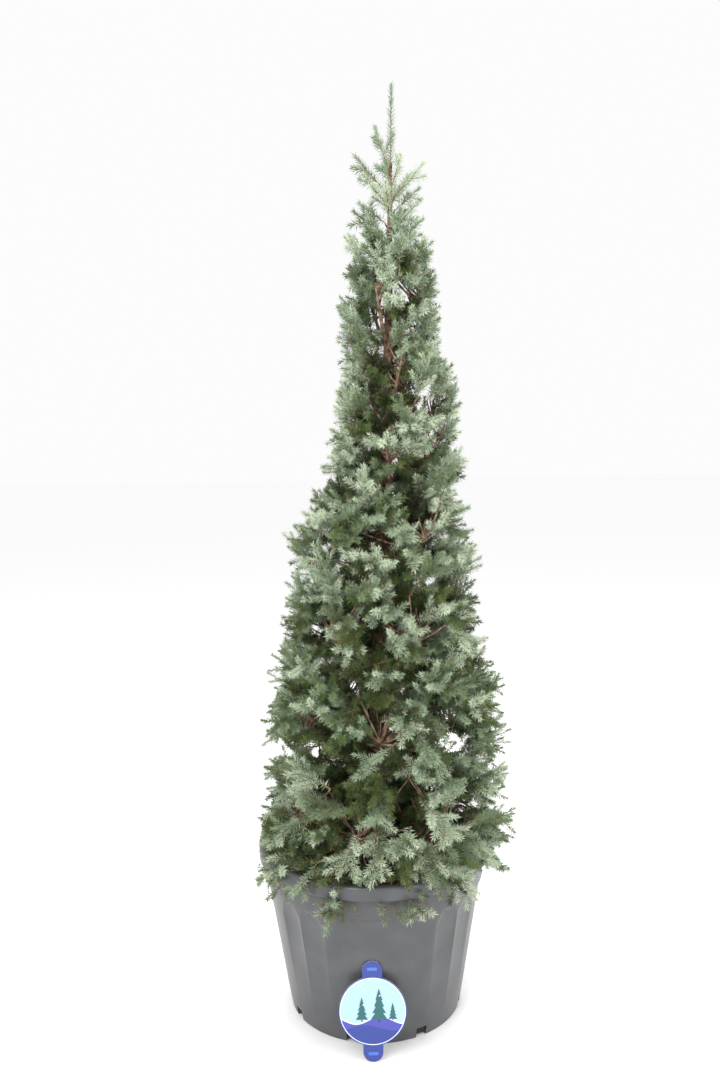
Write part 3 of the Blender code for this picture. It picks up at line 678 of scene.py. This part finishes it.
def stemCorners(name, index):
    # a bough from the trunk and the stem that goes on from it inside the mass
    tier, look = tierNames.index(name), tiers[name]
    turn = look["turn"] + index * 2 * math.pi / look["masses"]
    root = placeInTier(tier, turn, 0.0, look["startUp"])
    end = placeInTier(tier, turn, crown["stemShare"], look["endUp"])
    start = root + levelWay(turn) * (trunkRadius(root[2]) - 0.002)
    tip = placeInTier(tier, turn, crown["boughShare"], look["endUp"])
    if tier >= tiersWithBoughs:
        tip = start + levelWay(turn) * 0.012
    middle = (tip + end) / 2 - np.array((0, 0, 0.04 * np.linalg.norm(end - tip)))
    return turn, [start, start + levelWay(turn) * 0.012, tip, middle, end]


def makeBoughs(finish):
    lines, radii, nodes = [], [], []
    for name, look in tiers.items():
        tier = tierNames.index(name)
        for index in range(look["masses"]):
            turn, corners = stemCorners(name, index)
            line = bentLine(corners, 22)
            share = np.linspace(0, 1, 22)
            thick = crown["boughRadius"] * (1 - 0.05 * tier)
            radius = 0.0016 + (thick - 0.0016) * (1 - share) ** 0.8 + 0.003 * np.exp(-share / 0.03)
            lines.append(line)
            radii.append(radius)
            if tier < tiersWithBoughs:
                nodes.append(f"bough_{name}_{index + 1}")
    points, faces = tubeArrays(lines, radii, barkLook["boughSides"])
    middles = np.repeat(np.asarray(lines).reshape(-1, 3), barkLook["boughSides"], axis=0)
    for index, point in enumerate(points):
        rough = noise.fractal(Vector(point) / 0.006, 0.9, 2.0, 3)
        points[index] = middles[index] + (point - middles[index]) * (1 + 0.14 * rough)
    piece = newPiece("bough_bark", arrayMesh("boughBark", points, faces), [finish])
    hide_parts(*nodes)


bark = barkFinish()
makeTrunk(bark)
makeBoughs(bark)
print("bark done")


# needles: every spray is a main shoot with side shoots, and every shoot has its needles

needleLook = {
    "perMetre": 1250, "length": (0.0125, 0.0180), "width": 0.0023, "fold": 0.0006,
    "openAtRoot": 76, "openAtTip": 40, "lift": 0.16, "seed": 5,
    "proud": 0.010,  # how far needles may stand out of the solids' box
    "dip": 0.004,  # how far they may dip towards the pot or the mulch
    "goldenAngle": 2.39996, "shootRise": 0.08,  # a shoot's upward curve, as a share of its length
}
sprayLook = {  # shares are of the crown's reach, angles are in radians
    "outer": (0.90, 1.02), "middle": (0.70, 0.86), "inner": (0.28, 0.62), "overlap": 1.12,
    "swerve": 0.38, "waver": 0.24, "roll": 0.6, "sides": 6, "axis": 0.0013,
}
sideShoots = {  # shares are of the main shoot's length, angles are in degrees
    "first": 0.20, "spread": 0.55, "open": (36, 58), "turn": 38, "length": (0.40, 0.56),
    "shortest": 0.012, "axis": 0.0009,
}
trunkWindow = {"half": 0.30, "low": 1.49, "high": 1.66}  # no tips here, so the trunk shows
needleColors = {  # waxy bloom on the outer shoots, plain greens below and inside; the shaded colour is painted shade for sprays inside the crown
    "waxy silver needles": "#bfcdb3",
    "waxy blue-green needles": "#98ab8e",
    "grey-green needles": "#788b67",
    "green needles": "#5a6d3c",
    "dark green needles": "#3b4d28",
    "shaded needles": "#27341b",
}
outerShares = {
    "high": (0.46, 0.30, 0.15, 0.08, 0.01, 0.0), "middle": (0.33, 0.30, 0.20, 0.12, 0.05, 0.0),
    "low": (0.26, 0.27, 0.23, 0.17, 0.07, 0.0),
}
# sprays inside the crown draw darker greens and the shaded colour, which is painted shade
innerShares = (0.0, 0.08, 0.18, 0.30, 0.30, 0.14)
leader = {"tier": 8, "tone": 2, "needle": 1.0}  # its needles are greener than those around it

crestShoots = (  # height on the trunk, turn and rise in degrees, length; turn 0 is to the right
    (1.955, 170, 72, 0.108), (1.930, 100, 55, 0.085), (1.920, -62, 52, 0.080),
    (1.912, 186, 45, 0.110), (1.903, 4, 44, 0.108), (1.890, 60, 40, 0.090),
    (1.884, 214, 41, 0.090), (1.872, -22, 32, 0.082), (1.868, 96, 40, 0.095),
    (1.862, -100, 42, 0.085), (1.845, 150, 35, 0.095), (1.837, 12, 40, 0.098),
    (1.820, 75, 38, 0.100), (1.814, 184, 35, 0.098), (1.806, -72, 36, 0.092),
    (1.795, 230, 30, 0.090), (1.787, -4, 40, 0.100), (1.785, 128, 30, 0.095),
    (1.775, -45, 24, 0.088), (1.770, 14, 12, 0.075), (1.766, 190, 18, 0.082),
    (1.760, 162, -4, 0.082), (1.752, -108, 22, 0.088), (1.748, 62, 24, 0.095),
    (1.735, 30, 30, 0.095), (1.728, 205, 28, 0.092), (1.720, -80, 24, 0.090),
    (1.705, -12, 60, 0.090), (1.702, 110, 20, 0.095), (1.695, 175, 20, 0.095),
)


def potTop(point):
    # height that needles and shoots stay above at a place over the pot
    radius = math.hypot(point[0], point[1])
    if radius > pot["lipRadius"] + 0.006:
        return -1.0
    if radius > pot["collarRadius"] - 0.012:
        return pot["height"] + 0.006
    return mulch["soilTop"] + mulch["thickness"] + 0.012


def clearOfPot(point):
    point = np.array(point)
    point[2] = max(point[2], potTop(point))
    return point


def insideBox(point):
    # level with the place asked for, but near enough for the longest needle to stay in bounds
    inset = needleLook["length"][1] - needleLook["proud"]
    lowest, highest = np.array(cadBox[0])[:2] + inset, np.array(cadBox[1])[:2] - inset
    point = np.array(point)
    point[:2] = np.clip(point[:2], lowest, highest)
    return point


def growSprays(name, chance):
    # tips spread over the mass's skin and, fewer, inside it
    tier, look = tierNames.index(name), tiers[name]
    hanging = apron["sprays"] if name == "skirt" else 0
    sprays = []
    for index in range(look["masses"]):
        turn, corners = stemCorners(name, index)
        stem = bentLine(corners, 22)
        half = math.pi / look["masses"]
        for number in range(look["sprays"] + hanging):
            across = ((number * 0.618 + 0.1 * index) % 1) * 2 - 1 + chance.uniform(-0.1, 0.1)
            up = (((number * 0.7549 + 0.37) % 1) * 2 - 1) * sprayLook["overlap"]
            up += chance.uniform(-0.12, 0.12)
            isInner = number % 10 in (3, 6, 8)
            isMiddle = number % 10 in (1, 5)
            shareOut = chance.uniform(*sprayLook["outer"])
            if isInner:
                shareOut = chance.uniform(*sprayLook["inner"])
            if isMiddle:
                shareOut = chance.uniform(*sprayLook["middle"])
            aim = turn + half * across
            swerve = aim + chance.normal(0, sprayLook["swerve"])
            lift = look["rise"] + up * look["fan"] + chance.normal(0, sprayLook["waver"])
            if number >= look["sprays"]:  # these hang over the pot's rim
                isInner = isMiddle = False
                shareOut = chance.uniform(*apron["out"])
                up = chance.uniform(*apron["up"]) * 2 - 1
                lift = chance.uniform(*apron["lift"])
            tip = placeInTier(tier, aim, shareOut, 0.5 + 0.5 * up)
            heading = np.array((
                math.cos(swerve) * math.cos(lift), math.sin(swerve) * math.cos(lift), math.sin(lift)
            ))
            room = math.hypot(*(tip - trunkAxis(tip[2]))[:2])
            length = min(look["length"] * chance.uniform(0.85, 1.15), room * 0.85)
            fromFront = abs((aim + math.pi / 2 + math.pi) % (2 * math.pi) - math.pi)
            if fromFront < trunkWindow["half"] and trunkWindow["low"] < tip[2] < trunkWindow["high"]:
                continue
            base = clearOfPot(insideBox(tip - heading * length))
            tip = clearOfPot(insideBox(tip))
            reach = np.linalg.norm(base - stem[0]) / np.linalg.norm(stem[-1] - stem[0])
            origin = stem[int(min(0.97, max(0.2, reach * 0.85)) * 21)]
            sprays.append(dict(
                base=base, tip=tip, origin=origin, roll=chance.normal(0, sprayLook["roll"]), mass=index,
                isInner=isInner or isMiddle, tier=tier, needle=1.0, sides=sprayLook["sides"],
            ))
    return sprays


def growCrest(chance):
    sprays = []
    for height, turn, rise, length in crestShoots:
        swerve, lift = math.radians(turn), math.radians(rise)
        heading = np.array((
            math.cos(swerve) * math.cos(lift), math.sin(swerve) * math.cos(lift), math.sin(lift)
        ))
        origin = trunkAxis(height)
        base = origin + heading * (trunkRadius(height) + 0.008)
        sprays.append(dict(
            base=base, tip=origin + heading * length, origin=origin, roll=chance.normal(0, 0.5),
            isInner=False, tier=7, needle=1.12, sides=2 if height > 1.83 else 4, mass=0,
        ))
    foot, top = trunkAxis(crown["trunkTip"] - 0.02), trunkAxis(crown["top"] - 0.006)
    sprays.append(dict(
        base=foot, tip=top, origin=foot, roll=0.0, isInner=False, tier=leader["tier"],
        needle=leader["needle"], sides=0, mass=0,
    ))
    return sprays


def shootsOf(spray, chance):
    # the main shoot and its side shoots, as base, way, up, length and width of the axis
    way = spray["tip"] - spray["base"]
    length = np.linalg.norm(way)
    way = way / length
    aside = unit(np.cross(way, (0.0, 0.0, 1.0)) + 1e-6)
    up = np.cross(aside, way)
    roll = spray["roll"]
    aside, up = aside * math.cos(roll) + up * math.sin(roll), up * math.cos(roll) - aside * math.sin(roll)
    shoots = [(spray["base"], way, up, length, sprayLook["axis"])]
    for side in range(spray["sides"]):
        step = (side + chance.uniform(0.2, 0.8)) / spray["sides"]
        share = sideShoots["first"] + sideShoots["spread"] * step
        opened = math.radians(chance.uniform(*sideShoots["open"]))
        spin = math.radians((90 if side % 2 else -90) + chance.normal(0, sideShoots["turn"]))
        out = aside * math.sin(spin) + up * math.cos(spin)
        turned = unit(way * math.cos(opened) + out * math.sin(opened))
        start = spray["base"] + way * length * share
        reach = length * chance.uniform(*sideShoots["length"]) * (1.12 - 0.5 * share)
        run = insideBox(start + turned * reach) - start
        reach = np.linalg.norm(run)
        if reach > sideShoots["shortest"]:
            shoots.append((start, run / reach, out, reach, sideShoots["axis"]))
    return shoots


def needleArrays(shoots, sizes, density, chance):
    # shoots is a list of (base, way, up, length, radius, tone); gives points, faces and tones
    base = np.array([shoot[0] for shoot in shoots])
    way = np.array([shoot[1] for shoot in shoots])
    up = np.array([shoot[2] for shoot in shoots])
    length = np.array([shoot[3] for shoot in shoots])
    tone = np.array([shoot[5] for shoot in shoots])
    size = np.array(sizes)
    count = np.maximum(12, (length * density).astype(int))
    which = np.repeat(np.arange(len(shoots)), count)
    order = np.arange(len(which)) - np.repeat(np.cumsum(count) - count, count)
    share = (order + 0.5) / count[which]
    share = 0.06 + 0.94 * share ** 0.92
    aside = unit(np.cross(way, up))
    up = np.cross(aside, way)
    turn = order * needleLook["goldenAngle"] + chance.uniform(-0.4, 0.4, len(which))
    around = np.cos(turn)[:, None] * aside[which] + np.sin(turn)[:, None] * up[which]
    root = base[which] + way[which] * (length[which] * share)[:, None]
    root[:, 2] += needleLook["shootRise"] * length[which] * share ** 2
    opened = np.radians(
        needleLook["openAtRoot"] + (needleLook["openAtTip"] - needleLook["openAtRoot"]) * share ** 1.6
        + chance.normal(0, 8, len(which))
    )
    out = np.cos(opened)[:, None] * way[which] + np.sin(opened)[:, None] * around
    out[:, 2] += needleLook["lift"] * (1 - np.abs(out[:, 2]))
    out = unit(out)
    low, high = needleLook["length"]
    reach = chance.uniform(low, high, len(which)) * size[which] * (1 - 0.22 * share ** 4)
    flat = unit(np.cross(out, around))
    over = np.cross(flat, out)
    half = needleLook["width"] / 2 * chance.uniform(0.85, 1.15, len(which)) * size[which]
    middle = root + out * (reach * 0.42)[:, None] - over * needleLook["fold"]
    tip = root + out * reach[:, None]
    keep = tip[:, 2] > np.array([potTop(point) - needleLook["dip"] for point in tip])
    edge = flat * half[:, None]
    corners = np.stack([root, middle + edge, tip, middle - edge], axis=1)[keep]
    start = np.arange(len(corners))[:, None] * 4
    faces = np.concatenate([start + np.array((0, 1, 2)), start + np.array((0, 2, 3))], axis=1)
    return corners.reshape(-1, 3), faces.reshape(-1, 3), np.repeat(tone[which][keep], 2)


def dealTone(spray, chance):
    if spray["tier"] == leader["tier"]:
        return leader["tone"]
    # inner and middle sprays: darker greens and the painted shade colour
    if spray["isInner"]:
        shares = innerShares
    elif spray["tier"] <= 1:
        shares = outerShares["low"]
    else:
        shares = outerShares["high" if spray["tier"] >= 4 else "middle"]
    return int(chance.choice(len(needleColors), p=np.array(shares) / sum(shares)))


def makeFoliage():
    # spruce needles: satin with a pale waxy bloom; young twigs: matt orange-brown
    finishes = []
    for name, color in needleColors.items():
        finishes.append(newFinish(name, color, 0.52, Specular_IOR_Level=0.35))
    twigBark = newFinish("young spruce twig", "#8d6b47", 0.85)
    addRelief(twigBark, mottle(twigBark, ("#6f5136", "#8d6b47", "#a98761"), 0.006), 0.0003)
    budScale = newFinish("bud scales", "#9a6b3f", 0.7)
    addRelief(budScale, mottle(budScale, ("#7c522f", "#a97a4b"), 0.002), 0.0003)
    chance = np.random.default_rng(needleLook["seed"])
    groups = []
    for name in tierNames:
        sprays, pieces, masses = growSprays(name, chance), tiers[name]["pieces"], tiers[name]["masses"]
        for part in range(pieces):
            groups.append((name, part, [s for s in sprays if s["mass"] * pieces // masses == part]))
    groups.append(("crest", 0, growCrest(chance)))
    axes, axisRadii, links, linkRadii, ends = [], [], [], [], []
    total = 0
    for name, part, sprays in groups:
        shoots, sizes = [], []
        for spray in sprays:
            tone = dealTone(spray, chance)
            for base, way, up, length, radius in shootsOf(spray, chance):
                shade = tone
                if chance.random() < 0.25:
                    shade = min(len(needleColors) - 1, max(0, tone + int(chance.integers(-1, 2))))
                shoots.append((base, way, up, length, radius, shade))
                sizes.append(spray["needle"])
                rise = np.array((0, 0, needleLook["shootRise"] * length))
                axes.append([base, base + way * length * 0.5 + rise * 0.25, base + way * length + rise])
                axisRadii.append([radius, radius * 0.85, radius * 0.5])
                ends.append((base + way * length + rise, way))
            if np.linalg.norm(spray["base"] - spray["origin"]) > 0.004:
                bend = (spray["origin"] + spray["base"]) / 2 - np.array((0, 0, 0.01))
                links.append(bentLine([spray["origin"], bend, spray["base"]], 5))
                linkRadii.append(np.linspace(0.0030, 0.0016, 5))
        points, faces, tones = needleArrays(shoots, sizes, needleLook["perMetre"], chance)
        total += len(faces)
        mesh = arrayMesh(f"needles {name}", points, faces, tones)
        piece = newPiece(f"needles_{name}_{part + 1}", mesh, finishes, False)
        if name == "crest":
            nodes = [f"foliage_{tier}_{i + 1}" for tier in ("tip", "crest") for i in range(2)]
            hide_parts(*nodes, "foliage_leader")
        else:
            masses = sorted({spray["mass"] for spray in sprays})
            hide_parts(*[f"foliage_{name}_{mass + 1}" for mass in masses])
        print("needles", name, part + 1, len(sprays), "sprays", len(faces), "triangles")
    points, faces = tubeArrays(axes, axisRadii, 3)
    newPiece("shoot_axes", arrayMesh("shootAxes", points, faces), [twigBark])
    points, faces = tubeArrays(links, linkRadii, 5)
    newPiece("twigs", arrayMesh("twigs", points, faces), [bark])
    # a bud at the end of each shoot: two three-sided cones, foot to foot
    tip, way = np.array([end[0] for end in ends]), np.array([end[1] for end in ends])
    aside = unit(np.cross(way, np.array((0.3, 0.2, 0.9))))
    across = np.cross(way, aside)
    corners = [tip - way * 0.002]
    for side in range(3):
        turn = 2 * math.pi * side / 3
        corners.append(tip + way * 0.0008 + 0.0017 * (math.cos(turn) * aside + math.sin(turn) * across))
    corners.append(tip + way * 0.0052)
    points = np.stack(corners, axis=1).reshape(-1, 3)
    local = [(0, 2, 1), (0, 3, 2), (0, 1, 3), (1, 2, 4), (2, 3, 4), (3, 1, 4)]
    faces = (np.arange(len(tip))[:, None, None] * 5 + np.array(local)).reshape(-1, 3)
    newPiece("buds", arrayMesh("buds", points, faces), [budScale], False)
    print("foliage:", total, "needle triangles,", len(tip), "shoots")


makeFoliage()


# floor, light and backdrop

studio = {
    "floorSize": 40.0, "floorColor": "#fdfdfd", "wall": 0.98, "wallStrength": 0.995,
    "lights": (  # name, place, size, watts
        ("key", (-1.6, -2.8, 3.4), 2.4, 95),
        ("fill", (2.4, -2.2, 2.2), 2.4, 45),
        ("top", (0.0, 0.4, 4.2), 3.0, 55),
        ("back", (0.6, 3.0, 2.6), 2.4, 40),
    ),
    "aim": (0.0, 0.0, 1.0),
}


def makeStudio():
    work = bmesh.new()
    bmesh.ops.create_grid(work, x_segments=1, y_segments=1, size=studio["floorSize"])
    mesh = bpy.data.meshes.new("floor")
    work.to_mesh(mesh)
    work.free()
    floor = bpy.data.objects.new("floor", mesh)
    bpy.context.scene.collection.objects.link(floor)
    mesh.materials.append(newFinish("pale painted floor", studio["floorColor"], 0.6))
    for name, place, size, watts in studio["lights"]:
        lamp = bpy.data.lights.new(name, "AREA")
        lamp.energy, lamp.size = watts, size
        thing = bpy.data.objects.new(name, lamp)
        thing.location = place
        toAim = Vector(studio["aim"]) - Vector(place)
        thing.rotation_euler = toAim.to_track_quat("-Z", "Y").to_euler()
        bpy.context.scene.collection.objects.link(thing)
    world = bpy.data.worlds.new("soft room")
    bpy.context.scene.world = world
    world.use_nodes = True
    glow = world.node_tree.nodes["Background"]
    glow.inputs["Color"].default_value = (studio["wall"], studio["wall"], studio["wall"], 1)
    glow.inputs["Strength"].default_value = studio["wallStrength"]
    bpy.context.scene.view_settings.view_transform = "Standard"


makeStudio()
print("studio done")
